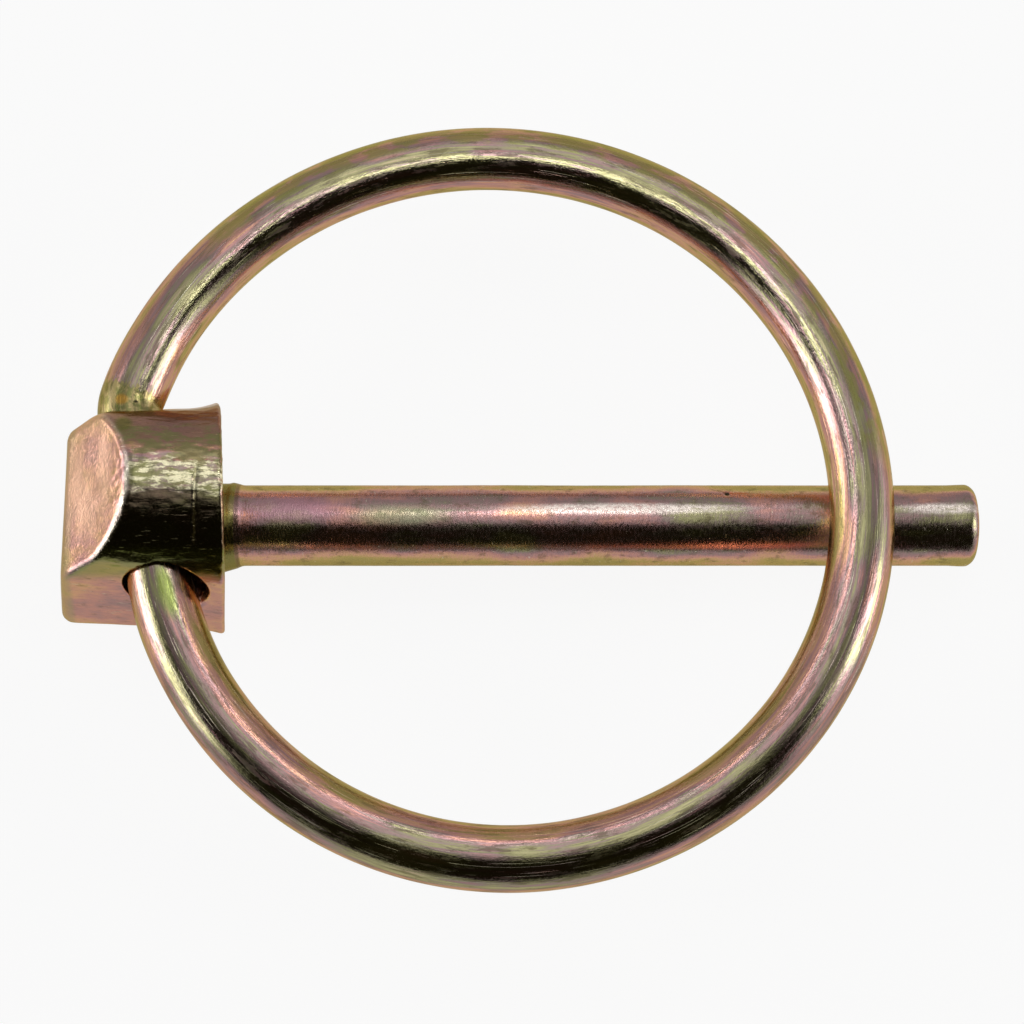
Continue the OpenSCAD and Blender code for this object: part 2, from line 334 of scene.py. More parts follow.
def head_block_distance(p):
    """Distance to the head without its hole; p is in the head's own upright frame."""
    x, y, z = p.T
    shoulder = z * math.tan(math.radians(SHOULDER_DRAFT)) - (y + HEAD_OFFSET) * math.tan(
        math.radians(SHOULDER_SKEW)
    )
    end = z * math.tan(math.radians(END_DRAFT))
    back_from = (shoulder - x) / (1 + (shoulder - end) / HEAD_LENGTH)
    height = np.where(y > 0, FLARE_HEIGHT + UPPER_FLARE, FLARE_HEIGHT)
    flare = 1 + 2 * height / HEAD_WIDTH * np.clip(1 - back_from / FLARE_LENGTH, 0, 1) ** 2
    half_width = HEAD_WIDTH / 2 - back_from * math.tan(math.radians(SIDE_TAPER))
    side = outline_distance(y / flare, z, half_width)
    body = rounded(side, -back_from, SHOULDER_EDGE_R)
    body = rounded(body, back_from - HEAD_LENGTH, END_RIM_R)
    body = rounded(body, side_bevel_distance(p), SIDE_RIM_R)
    return rounded(body, bevel_distance(x, z), BEVEL_RIM_R)


def hole_distance(p):
    """Distance to what is outside the hinge hole, whose upper mouth is countersunk at 45
    degrees; p is in the part's frame."""
    x, y, z = to_hinge(p).T
    off = np.hypot(x - HOLE_SHIFT, z + HOLE_DROP)
    sink_at = BEND_END[1] + END_BEND_R * math.sin(math.radians(END_BEND)) / 2 - COUNTERSINK
    cone = (HOLE_R + (y - sink_at) - off) * math.sqrt(0.5)
    return np.maximum(HOLE_R - off, cone)


# The forged skin, the finer lumps on the front and the groove that a tool left there. A pair
# gives where something starts and where it is full.
SKIN = ((0.02, 2.4, 3.3), (0.008, 0.9, 8.1))
SKIN_INSET = 0.042  # keeps the lumps inside the CAD model
HAMMERED = ((0.026, (0.6, 0.3, 0.34), 5.7), (0.006, 0.22, 2.2))
HAMMERED_UP = (4.5, 6.5)
HAMMERED_ALONG = (-6.2, -5.4)
TOOL_MARK_X = -1.31
TOOL_MARK_WIDTH = 0.09
TOOL_MARK_DEPTH = 0.055
TOOL_MARK_LOW = (-3.4, -2.6)
TOOL_MARK_HIGH = (0.2, 0.9)
TOOL_MARK_SWAY = 0.04
TOOL_MARK_SWAYS = 2.2  # radians per millimetre


def forged(p):
    """How far the forged surface lies below its ideal; p is in the head's frame."""
    x, y, z = p.T
    front = smoothstep(*HAMMERED_UP, z) * smoothstep(*HAMMERED_ALONG, x)
    mark_x = TOOL_MARK_X + TOOL_MARK_SWAY * np.sin(TOOL_MARK_SWAYS * y)
    mark = np.exp(-(((x - mark_x) / TOOL_MARK_WIDTH) ** 2)) * smoothstep(*TOOL_MARK_LOW, y)
    groove = mark * (1 - smoothstep(*TOOL_MARK_HIGH, y))
    return lumps(p, SKIN) + front * (lumps(p, HAMMERED) + TOOL_MARK_DEPTH * groove) + SKIN_INSET


def head_distance(q):
    """Distance to the finished head; q is in the part's frame."""
    p = to_head(q)
    body = head_block_distance(p) + forged(p)
    return rounded(body, hole_distance(q), MOUTH_RIM_R)


# Where the masks of the head's looks start and where they are full.
RIM_NEAR = (-0.24, -0.12)  # the lesser of the distances to the bevel and to the outline
RIM_ALONG = (-7.4, -6.6)
RIM_FADES = (0.4, 1.8)
RIM_FADES_BY = 0.75
FRONT_PAST_BEVEL = (0.02, 0.12)
FRONT_UP = (3.0, 4.5)


def rim_wear_and_highlight(p):
    """Two masks: 1 on the edge between the bevel and the head's rounded front, falling to 0
    around it, and 1 on the front itself, short of that edge."""
    x, y, z = p.T
    bevel = bevel_distance(x, z)
    half_width = HEAD_WIDTH / 2 + x * math.tan(math.radians(SIDE_TAPER))
    outline = outline_distance(y, z, half_width)
    # The rim mask carries both real wear and a painted highlight.
    rim = smoothstep(*RIM_NEAR, np.minimum(bevel, outline)) * smoothstep(*RIM_ALONG, x)
    rim *= 1 - RIM_FADES_BY * smoothstep(*RIM_FADES, y)
    front = smoothstep(*FRONT_PAST_BEVEL, outline - bevel) * smoothstep(*FRONT_UP, z)
    return rim, front


# ---------------------------------------------------------------- the head's mesh


def cells_beside(edges, axis1, axis2, step1, step2):
    """The grid cells that lie on one side of edges of the grid."""
    cells = edges.copy()
    cells[:, axis1] -= step1
    cells[:, axis2] -= step2
    return cells


def surface_net(field, low, step):
    """A quad mesh through the zero of a field on a grid. Each cell that the surface crosses
    has one point, at the middle of where it crosses the cell's edges, and each crossed edge
    has one face, between the four cells around it."""
    inside = field < 0
    shape = np.array(field.shape) - 1
    total = np.zeros(tuple(shape) + (3,), np.float32)
    count = np.zeros(tuple(shape), np.float32)
    crossed = []
    for axis in range(3):
        first, second = [slice(None)] * 3, [slice(None)] * 3
        first[axis], second[axis] = slice(0, -1), slice(1, None)
        a, b = field[tuple(first)], field[tuple(second)]
        from_inside = inside[tuple(first)]
        crosses = from_inside != inside[tuple(second)]
        edges = np.argwhere(crosses)
        crossing = edges.astype(np.float32)
        crossing[:, axis] += a[crosses] / (a[crosses] - b[crosses])
        crossed.append((axis, edges, from_inside[crosses]))
        axis1, axis2 = [k for k in range(3) if k != axis]
        for step1, step2 in ((0, 0), (0, 1), (1, 0), (1, 1)):
            cells = cells_beside(edges, axis1, axis2, step1, step2)
            real = ((cells >= 0) & (cells < shape)).all(1)
            np.add.at(total, tuple(cells[real].T), crossing[real])
            np.add.at(count, tuple(cells[real].T), 1)
    used = count > 0
    index = np.full(count.shape, -1)
    index[used] = np.arange(used.sum())
    points = low + step * total[used] / count[used][:, None]
    faces = []
    for axis, edges, from_inside in crossed:
        axis1, axis2 = (axis + 1) % 3, (axis + 2) % 3
        real = (edges[:, axis1] > 0) & (edges[:, axis2] > 0)
        corners = []
        for step1, step2 in ((1, 1), (0, 1), (0, 0), (1, 0)):
            cells = cells_beside(edges[real], axis1, axis2, step1, step2)
            corners.append(index[tuple(cells.T)])
        quads = np.stack(corners, 1)
        inwards = ~from_inside[real]
        quads[inwards] = quads[inwards][:, ::-1]
        faces.append(quads)
    return points, np.concatenate(faces)


GRADIENT_STEP = 0.004


def gradient(distance, p):
    parts = []
    for axis in range(3):
        step = np.zeros(3)
        step[axis] = GRADIENT_STEP
        parts.append((distance(p + step) - distance(p - step)) / (2 * GRADIENT_STEP))
    return np.stack(parts, 1)


HEAD_GRID = 0.105
SIDE_MARGIN = 0.9
SHOULDER_MARGIN = 1.3
FRONT_MARGIN = 0.5
GRID_BACK = 4.0
SNAP_PASSES = 4
SNAP_MOST = 0.08
STEEPNESS_LEAST = 0.2


def build_head():
    """The head's points and faces: a net through its distance field, whose points then move
    onto the surface itself."""
    low = np.array([-HEAD_LENGTH - SIDE_MARGIN, -HEAD_WIDTH / 2 - SIDE_MARGIN, -GRID_BACK])
    high = np.array([SHOULDER_MARGIN, HEAD_WIDTH / 2 + SIDE_MARGIN, HEAD_FRONT + FRONT_MARGIN])
    count = np.ceil((high - low) / HEAD_GRID).astype(int) + 1
    axes = [low[k] + HEAD_GRID * np.arange(count[k]) for k in range(3)]
    field = np.empty(tuple(count), np.float32)
    for i, x in enumerate(axes[0]):
        y, z = np.meshgrid(axes[1], axes[2], indexing="ij")
        slab = np.stack([np.full(y.size, x), y.ravel(), z.ravel()], 1)
        field[i] = head_distance(from_head(slab)).reshape(y.shape)
    points, faces = surface_net(field, low, HEAD_GRID)
    points = from_head(points)
    for _ in range(SNAP_PASSES):
        slope = gradient(head_distance, points)
        steepness = np.maximum((slope * slope).sum(1), STEEPNESS_LEAST)
        move = np.clip(head_distance(points) / steepness, -SNAP_MOST, SNAP_MOST)
        points = points - move[:, None] * slope
    return points, faces


head_points, head_faces = build_head()
head_flow = to_head(head_points)
head_rim, head_front = rim_wear_and_highlight(head_flow)
head_masks = {"flow": head_flow, "rim": head_rim, "front": head_front}
head = make_object("head", head_points, head_faces.tolist(), head_masks)


# ---------------------------------------------------------------- the shank

SHANK_SIDES = 160
SHANK_FROM = -1.2  # inside the head
SHANK_STEP = 0.1
EDGE_STEPS = 14
DOME_STEPS = 16
TIP_CENTRE_R = 0.02

# What forging and use left on it. A pair gives where something starts and where it ends.
SHANK_SKIN = ((0.012, (5.0, 2.0, 2.0), 1.7), (0.004, (0.5, 1.2, 1.2), 5.2))
COLLAR_RISE = 0.10
COLLAR_ENDS = (0.85, 1.35)
COLLAR_UNDER_RISE = 0.32
COLLAR_UNDER_LENGTH = 1.05
BEAD_RISE = 0.055
BEAD_X = 0.67
BEAD_WIDTH = 0.16
SWELL_RISE = 0.035
SWELL_STARTS = (42.6, 43.6)
SWELL_ENDS = (43.8, 44.2)
PIT = np.array([29.67, 1.36, 1.95])
PIT_DEPTH = 0.09
PIT_R = 0.13
SCALE_FROM_R = 1.5  # keeps the skin's lumps small around the middle of the tip


def shank_profile():
    """Places along the shank and the radius at each, from inside the head to the tip."""
    inner = SHANK_R - TIP_EDGE_R
    touch = math.asin(inner / (TIP_DOME_R - TIP_EDGE_R))
    dome_x = SHANK_LENGTH - TIP_DOME_R
    edge_x = dome_x + (TIP_DOME_R - TIP_EDGE_R) * math.cos(touch)
    profile = [(x, SHANK_R) for x in np.arange(SHANK_FROM, edge_x, SHANK_STEP)]
    for t in np.linspace(0, math.pi / 2 - touch, EDGE_STEPS):
        profile.append((edge_x + TIP_EDGE_R * math.sin(t), inner + TIP_EDGE_R * math.cos(t)))
    for t in np.linspace(touch, 0, DOME_STEPS)[1:]:
        r = max(TIP_DOME_R * math.sin(t), TIP_CENTRE_R)
        profile.append((dome_x + TIP_DOME_R * math.cos(t), r))
    return np.array(profile)


def build_shank():
    """The shank as a skin over rings of points, with its root collar, its pit and the slight
    swell before its rounded tip."""
    profile = shank_profile()
    angle = np.linspace(0, 2 * math.pi, SHANK_SIDES, endpoint=False)
    x, a = np.meshgrid(profile[:, 0], angle, indexing="ij")
    r = np.repeat(profile[:, 1:], SHANK_SIDES, 1)
    raw = np.stack([x.ravel(), (r * np.cos(a)).ravel(), (r * np.sin(a)).ravel()], 1)
    under = (1 - np.cos(a.ravel())) / 2
    past = np.maximum(raw[:, 0], 0)
    collar = COLLAR_RISE * (1 - smoothstep(*COLLAR_ENDS, past))
    collar += COLLAR_UNDER_RISE * under * np.maximum(1 - past / COLLAR_UNDER_LENGTH, 0)
    collar += BEAD_RISE * (1 - under) * np.exp(-(((past - BEAD_X) / BEAD_WIDTH) ** 2))
    swell = smoothstep(*SWELL_STARTS, raw[:, 0]) * (1 - smoothstep(*SWELL_ENDS, raw[:, 0]))
    pit = PIT_DEPTH * np.exp(-((raw - PIT) ** 2).sum(1) / PIT_R**2)
    off = lumps(raw, SHANK_SKIN) + SWELL_RISE * swell + collar - pit
    scale = 1 + off / np.maximum(r.ravel(), SCALE_FROM_R)
    points = raw * np.stack([np.ones_like(scale), scale, scale], 1)
    return points @ ROLL.T, grid_faces(len(profile), SHANK_SIDES), raw


shank_points, shank_faces, shank_flow = build_shank()
shank = make_object("shank", shank_points, shank_faces, {"flow": shank_flow})
outward(shank)


# ---------------------------------------------------------------- the ring

RING_SIDES = 88
RING_STEP = 0.14
RING_SKIN = ((0.010, (7.0, 1.6, 1.6), 2.9), (0.004, (1.4, 0.7, 0.7), 6.4))
# The wire is slightly thicker where it leaves the head.
END_SWELL = 0.04
END_SWELL_STARTS = (0.4, 2.4)
END_SWELL_ENDS = (2.4, 6.5)


def along_line(start, end):
    """Points and headings along a straight stretch of wire, without its last point."""
    length = np.linalg.norm(end - start)
    count = max(2, round(length / RING_STEP))
    points = [start + (end - start) * i / count for i in range(count)]
    return points, [(end - start) / length] * count


def along_arc(centre, r, first, last):
    """Points and headings along a bent stretch of wire, without its last point."""
    count = max(2, round(r * math.radians(last - first) / RING_STEP))
    turns = [first + (last - first) * i / count for i in range(count)]
    return [centre + r * direction(t) for t in turns], [direction(t + 90) for t in turns]


def centreline():
    """Points, headings and running length along the ring's wire, in the hinge's plane."""
    stretches = (
        along_line(LOWER_START + [0, PIVOT_LENGTH], LOWER_START),
        along_arc(RING_CENTRE, RING_R, 180, 270 + RING_WIDENS_AT),
        along_arc(UPPER_CENTRE, UPPER_R, RING_WIDENS_AT - 90, 180 - END_BEND),
        along_arc(BEND_CENTRE, END_BEND_R, 180 - END_BEND, 180),
        along_line(BEND_END, BEND_END - [0, PIVOT_LENGTH]),
    )
    points = [point for stretch in stretches for point in stretch[0]]
    headings = [heading for stretch in stretches for heading in stretch[1]]
    points.append(BEND_END - [0, PIVOT_LENGTH])
    headings.append(headings[-1])
    points, headings = np.array(points), np.array(headings)
    steps = np.linalg.norm(np.diff(points, axis=0), axis=1)
    return points, headings, np.concatenate([[0], np.cumsum(steps)])


def build_ring():
    """The ring as a skin over rings of points around its centreline."""
    points, headings, length = centreline()
    radius = np.full(len(points), WIRE_R)
    for from_end in (length, length[-1] - length):
        outside = from_end - PIVOT_LENGTH
        swell = smoothstep(*END_SWELL_STARTS, outside) * (1 - smoothstep(*END_SWELL_ENDS, outside))
        radius += END_SWELL * swell
        radius -= np.maximum(PIVOT_CHAMFER - from_end, 0)
    angle = np.linspace(0, 2 * math.pi, RING_SIDES, endpoint=False)
    out = np.stack([headings[:, 1], -headings[:, 0]], 1)
    c, s = np.cos(angle), np.sin(angle)
    r = np.repeat(radius[:, None], RING_SIDES, 1)
    along = np.repeat(length[:, None], RING_SIDES, 1)
    flow = np.stack([along.ravel(), (r * c).ravel(), (r * s).ravel()], 1)
    r = r + lumps(flow, RING_SKIN).reshape(r.shape)
    flat = points[:, None, :] + r[:, :, None] * c[None, :, None] * out[:, None, :]
    raw = np.concatenate([flat, (r * s[None, :])[:, :, None]], 2).reshape(-1, 3)
    return from_hinge(raw), grid_faces(len(points), RING_SIDES), flow


ring_points, ring_faces, ring_flow = build_ring()
RING_LENGTH = float(ring_flow[:, 0].max())
ring = make_object("ring_wire", ring_points, ring_faces, {"flow": ring_flow})
outward(ring)


# ---------------------------------------------------------------- riding and replacing

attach(head, "pin_body")
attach(shank, "pin_body")
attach(ring, "ring")
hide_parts("pin_body")
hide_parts("pin_body")
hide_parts("ring")


# ---------------------------------------------------------------- shader nodes


class Nodes:
    """A few short ways to add and join shader nodes."""

    def __init__(self, tree):
        self.tree = tree

    def add(self, kind, **settings):
        made = self.tree.nodes.new(kind)
        for key, value in settings.items():
            setattr(made, key, value)
        return made

    def put(self, socket, value):
        if isinstance(value, bpy.types.NodeSocket):
            self.tree.links.new(value, socket)
        else:
            socket.default_value = value

    def attribute(self, name, output):
        return self.add("ShaderNodeAttribute", attribute_name=name).outputs[output]

    def math(self, operation, *values):
        made = self.add("ShaderNodeMath", operation=operation)
        for socket, value in zip(made.inputs, values):
            self.put(socket, value)
        return made.outputs[0]

    def vector(self, operation, a, b):
        made = self.add("ShaderNodeVectorMath", operation=operation)
        self.put(made.inputs[0], a)
        self.put(made.inputs[1], b)
        return made.outputs["Value" if operation == "DOT_PRODUCT" else "Vector"]

    def fit(self, value, low, high, to_low=0.0, to_high=1.0):
        """Takes low to to_low and high to to_high, smoothly, and holds them beyond."""
        made = self.add("ShaderNodeMapRange", interpolation_type="SMOOTHSTEP")
        for socket, item in zip(made.inputs, (value, low, high, to_low, to_high)):
            self.put(socket, item)
        return made.outputs[0]

    def noise(self, coords, scale, detail=3.0, rough=0.55, shift=0.0):
        """Noise with scale lumps per unit on each axis; shift tells its layers apart."""
        made = self.add("ShaderNodeTexNoise")
        scaled = self.vector("MULTIPLY", coords, scale)
        shifted = self.vector("ADD", scaled, (shift, shift * 0.7, shift * 1.3))
        self.put(made.inputs["Vector"], shifted)
        made.inputs["Scale"].default_value = 1.0
        made.inputs["Detail"].default_value = detail
        made.inputs["Roughness"].default_value = rough
        return made.outputs["Fac"]

    def axis(self, coords, index):
        made = self.add("ShaderNodeSeparateXYZ")
        self.put(made.inputs[0], coords)
        return made.outputs[index]

    def both(self, first, *others):
        """The product of masks."""
        for mask in others:
            first = self.math("MULTIPLY", first, mask)
        return first

    def band(self, value, start, end, blur):
        """1 between start and end, falling to 0 within blur outside them."""
        return self.both(
            self.fit(value, start - blur, start), self.fit(value, end, end + blur, 1.0, 0.0)
        )

    def length(self, coords):
        return self.math("SQRT", self.vector("DOT_PRODUCT", coords, coords))

    def spot(self, coords, centre, reach, edge=0.4):
        """1 around a place, falling to 0 at reach, which has one length per axis."""
        off = self.vector("DIVIDE", self.vector("SUBTRACT", coords, centre), reach)
        return self.fit(self.length(off), edge, 1.0, 1.0, 0.0)

    def ramp(self, value, stops):
        made = self.add("ShaderNodeValToRGB")
        band = made.color_ramp
        while len(band.elements) < len(stops):
            band.elements.new(0.5)
        for element, (at, colour) in zip(band.elements, stops):
            element.position = at
            element.color = (*colour, 1)
        self.put(made.inputs[0], value)
        return made.outputs[0]

    def mix(self, amount, a, b):
        made = self.add("ShaderNodeMix", data_type="RGBA")
        self.put(made.inputs["Factor"], amount)
        self.put(made.inputs["A"], a)
        self.put(made.inputs["B"], b)
        return made.outputs["Result"]

    def stain(self, colour, tint, *masks):
        """The colour, turned to the tint by the product of masks."""
        return self.mix(self.both(*masks), colour, (*tint, 1))


# ---------------------------------------------------------------- the plating

# Colours of the passivation film, from thin to thick.
FILM = (
    (0.00, (0.48, 0.39, 0.14)),
    (0.12, (0.58, 0.43, 0.16)),
    (0.26, (0.77, 0.44, 0.27)),
    (0.38, (0.66, 0.34, 0.29)),
    (0.50, (0.46, 0.28, 0.28)),
    (0.60, (0.37, 0.29, 0.25)),
    (0.70, (0.41, 0.39, 0.20)),
    (0.80, (0.53, 0.49, 0.27)),
    (0.90, (0.67, 0.54, 0.35)),
    (1.00, (0.72, 0.50, 0.36)),
)
SCRATCH = (0.93, 0.88, 0.70)
SMUT = (0.17, 0.13, 0.07)
GLANCING = (0.88, 0.78, 0.52)
GRAIN_RANGE = (0.3, 0.7)
LINE_HEIGHT = 0.5
SCRATCH_HEIGHT = -0.8


def up_at(degrees):
    """A way up, leant from the part's own towards its lower side in the picture."""
    lean = math.radians(degrees)
    return tuple(ROLL @ np.array([0.0, -math.sin(lean), math.cos(lean)]))


def plating(
    name, sheen_lean, phase, rise, streak, fine, patch, grain, rough, scratch, smut, scuff, relief, marks
):
    """Yellow-passivated steel. The film's colour drifts in streaks and patches, and it shifts
    with how squarely a surface faces a direction that leans towards the view, which is
    painted iridescent sheen.

    sheen_lean: how far that direction leans from the part's own way up.
    phase: the film where a surface is turned sideways to that direction, and where it faces it.
    rise: how squarely a surface has to face it for its colour to start and to stop shifting.
    streak, fine, patch, grain: each noise's lumps per millimetre, and its weight.
    rough: the roughness where the grain is low and where it is high.
    scratch: bright lines where handling has worn the film through, and their range.
    smut: dull dark patches, and their range.
    scuff: how much rougher the smut is.
    relief: the depth of lines and grain, in millimetres.
    marks: paints the piece's own marks on the colour.
    """
    made = bpy.data.materials.new(name)
    made.use_nodes = True
    n = Nodes(made.node_tree)
    shader = made.node_tree.nodes["Principled BSDF"]
    flow = n.attribute("flow", "Vector")
    normal = n.add("ShaderNodeNewGeometry").outputs["Normal"]
    # Painted iridescent sheen: the film's colour is set by how squarely the surface faces a direction
    # that leans towards the view.
    facing = n.math("ABSOLUTE", n.vector("DOT_PRODUCT", normal, up_at(sheen_lean)))
    film_and_sheen = n.fit(facing, *rise, *phase)
    lines = n.noise(flow, fine[0], detail=3.0, rough=0.65, shift=17.0)
    streaks = n.noise(flow, streak[0], detail=3.0, rough=0.6)
    patches = n.noise(flow, patch[0], detail=2.0, rough=0.5, shift=11.0)
    drifts = ((streaks, streak[1]), (lines, fine[1]), (patches, patch[1]))
    for layer, weight in drifts:
        film_and_sheen = n.math("ADD", film_and_sheen, n.math("MULTIPLY", n.math("SUBTRACT", layer, 0.5), weight))
    brightening = n.fit(n.noise(flow, scratch[0], detail=2.0, rough=0.6, shift=31.0), *scratch[1])
    dirt = n.fit(n.noise(flow, smut[0], detail=4.0, rough=0.65, shift=53.0), *smut[1])
    colour = n.stain(n.ramp(film_and_sheen, FILM), SMUT, dirt)
    colour = n.stain(colour, SCRATCH, brightening)
    n.put(shader.inputs["Base Color"], marks(n, flow, colour))
    shader.inputs["Metallic"].default_value = 1.0
    shader.inputs["Specular Tint"].default_value = (*GLANCING, 1)
    speckle = n.noise(flow, grain[0], detail=3.0, rough=0.7, shift=23.0)
    polish = n.fit(speckle, *GRAIN_RANGE, *rough)
    n.put(shader.inputs["Roughness"], n.math("MULTIPLY_ADD", dirt, scuff, polish))
    height = n.math("MULTIPLY", lines, LINE_HEIGHT)
    height = n.math("ADD", height, n.math("MULTIPLY", speckle, grain[1]))
    height = n.math("MULTIPLY_ADD", brightening, SCRATCH_HEIGHT, height)
    bump = n.add("ShaderNodeBump")
    bump.inputs["Strength"].default_value = 1.0
    bump.inputs["Distance"].default_value = relief * MM
    n.put(bump.inputs["Height"], height)
    n.put(shader.inputs["Normal"], bump.outputs[0])
    return made


# The head's marks: their colours, and the bands that they lie in, each with its start, end and
# blur. Bands run across the head, from its lower side up, or along it towards the shank.
# Painted shade: the dull mauve that darkens the head's upper flank.
MAUVE_SHADE = (0.27, 0.15, 0.13)
# Painted dark reflection: the near-black of the head's belly.
DARK_REFLECTION = (0.10, 0.085, 0.03)
SCORED = (0.95, 0.82, 0.50)
# Painted shade: the olive that darkens the gaps between the painted glints.
GLINT_GAP_SHADE = (0.28, 0.28, 0.11)
# Painted highlight: the yellow-white of the glints on the head's front.
GLINT = (1.0, 0.93, 0.62)
CORNER_OLIVE = (0.22, 0.21, 0.06)
# Painted reflection: the green-olive along the head's lower front edge.
EDGE_REFLECTION = (0.30, 0.34, 0.08)
END_OLIVE = (0.46, 0.40, 0.20)
BEVEL_PINK = (1.0, 0.60, 0.42)
# Worn bright, with a painted highlight: the rim between the bevel and the front.
WORN_RIM_AND_HIGHLIGHT = (0.98, 0.90, 0.74)
SHADED_FLANK = (2.2, 5.6, 0.6)
GLINT_GAP_BAND = (-0.3, 2.9, 0.5)
GLINT_BAND = (-0.5, 0.9, 0.4)
BELLY = (-4.0, -0.9, 0.3)
LOWER_EDGE = (-4.7, -3.9, 0.4)
OUTER_END = (-9.6, -8.55, 0.35)
SCORE_ACROSS = (-3.1, 0.7, 0.5)
SCORE_ALONG = (TOOL_MARK_X - 0.04, TOOL_MARK_X + 0.04, 0.06)
RAGGED = 2.2  # millimetres by which the bands' edges wander
SCORE_WANDER = 0.5
# Where the upper corner by the bevel is darkened to olive.
OLIVE_CORNER_SPOT = ((-5.5, 3.4, 7.2), (0.7, 1.0, 0.9))
BEVEL_MIDDLE = ((-7.6, 0.6, 6.0), (2.8, 5.0, 3.4))


def head_marks(n, place, colour):
    """From the upper flank down: dull mauve painted shade, olive painted shade between painted
    yellow-white glints, a dark speckled belly of painted dark reflection and olive painted
    reflection along the lower front edge, with a bright tool mark across the belly. The bevel
    is clouded with pale pink, its rim is worn bright with a painted highlight on it, and the
    outer end is olive."""
    across, along = n.axis(place, 1), n.axis(place, 0)
    front = n.attribute("front", "Fac")
    wander = n.math("SUBTRACT", n.noise(place, (0.8, 2.5, 2.5), 3.0, 0.6, 41.0), 0.5)
    ragged = n.math("MULTIPLY_ADD", wander, RAGGED, across)
    # Painted shade on the upper flank.
    colour = n.stain(colour, MAUVE_SHADE, n.band(ragged, *SHADED_FLANK), front, 0.75)
    # Painted dark reflection on the belly.
    colour = n.stain(colour, DARK_REFLECTION, n.band(ragged, *BELLY), front, 0.75)

    swaying = n.math("MULTIPLY_ADD", wander, SCORE_WANDER, along)
    score = n.both(n.band(swaying, *SCORE_ALONG), n.band(across, *SCORE_ACROSS))
    colour = n.stain(colour, SCORED, score, front, 0.7)

    # Painted shade: olive darkening between the painted glints.
    glint_gaps = n.fit(n.noise(place, (0.7, 1.5, 1.5), 4.0, 0.65, 67.0), 0.40, 0.56)
    colour = n.stain(colour, GLINT_GAP_SHADE, n.band(ragged, *GLINT_GAP_BAND), front, glint_gaps, 0.8)
    # Painted highlight: glints in a band across the front.
    glints = n.fit(n.noise(place, (1.1, 3.2, 3.2), 5.0, 0.7, 61.0), 0.46, 0.57)
    colour = n.stain(colour, GLINT, n.band(ragged, *GLINT_BAND), front, glints, 0.9)

    # A darker olive spot on the upper corner by the bevel.
    colour = n.stain(colour, CORNER_OLIVE, n.spot(place, *OLIVE_CORNER_SPOT), 0.8)
    # Painted reflection along the lower front edge.
    colour = n.stain(colour, EDGE_REFLECTION, n.band(across, *LOWER_EDGE), front, 0.7)
    colour = n.stain(colour, END_OLIVE, n.band(along, *OUTER_END), 0.5)

    clouds = n.fit(n.noise(place, (0.5, 0.22, 0.5), 3.0, 0.55, 91.0), 0.38, 0.62, 0.35, 0.9)
    colour = n.stain(colour, BEVEL_PINK, n.spot(place, *BEVEL_MIDDLE), clouds)
    # The rim is worn bright and carries a painted highlight.
    return n.stain(colour, WORN_RIM_AND_HIGHLIGHT, n.attribute("rim", "Fac"), 0.85)


def spotted(n, place, colour, spots):
    """The colour with spots on it, each with its place, reach, strength and tint."""
    for centre, reach, strength, tint in spots:
        colour = n.stain(colour, tint, n.spot(place, centre, reach), strength)
    return colour


# The ring's marks. Bands run along the wire, or across it to the ring's outside.
BRUISE_DARK = (0.22, 0.23, 0.05)
BRUISE_PALE = (0.46, 0.38, 0.15)
OUTSIDE_OLIVE = (0.38, 0.37, 0.09)
BRUISE = (RING_LENGTH - 3.3, RING_LENGTH, 0.25)
BRUISE_RAGGED = 1.6
UPPER_HALF = (66.0, 112.0, 3.0)
OUTSIDE = (0.4, 1.9, 0.4)
RING_SPOTS = (
    ((RING_LENGTH - 3.29, 0.2, 1.8), (0.4, 0.5, 0.5), 0.8, (0.60, 0.32, 0.05)),  # orange
    ((RING_LENGTH - 3.19, -0.62, 1.74), (0.16, 0.16, 0.16), 1.0, (0.03, 0.025, 0.01)),  # a pit
    ((3.9, -0.3, 1.7), (2.2, 0.7, 0.9), 0.7, (0.36, 0.46, 0.10)),  # green
)


def ring_marks(n, place, colour):
    """The mottled bruise where the wire's upper end enters the head, with an orange spot and
    a pit, a green patch at its lower end and an olive stain along the outside of its upper
    half."""
    along, outwards = n.axis(place, 0), n.axis(place, 1)
    mottle = n.noise(place, (2.6, 2.6, 2.6), 3.0, 0.7, 71.0)
    ragged = n.math("MULTIPLY_ADD", mottle, BRUISE_RAGGED, along)
    bruise = n.mix(n.fit(mottle, 0.42, 0.6), (*BRUISE_DARK, 1), (*BRUISE_PALE, 1))
    colour = n.mix(n.both(n.band(ragged, *BRUISE), 0.8), colour, bruise)
    olive = n.both(n.band(along, *UPPER_HALF), n.band(outwards, *OUTSIDE))
    broken = n.fit(n.noise(place, (0.5, 1.2, 1.2), 4.0, 0.6, 83.0), 0.42, 0.54)
    colour = n.stain(colour, OUTSIDE_OLIVE, olive, broken, 0.65)
    return spotted(n, place, colour, RING_SPOTS)


# The shank's marks. Bands run along it from the head.
COLLAR_OLIVE = (0.25, 0.22, 0.07)
COLLAR_DARK = (0.14, 0.10, 0.05)
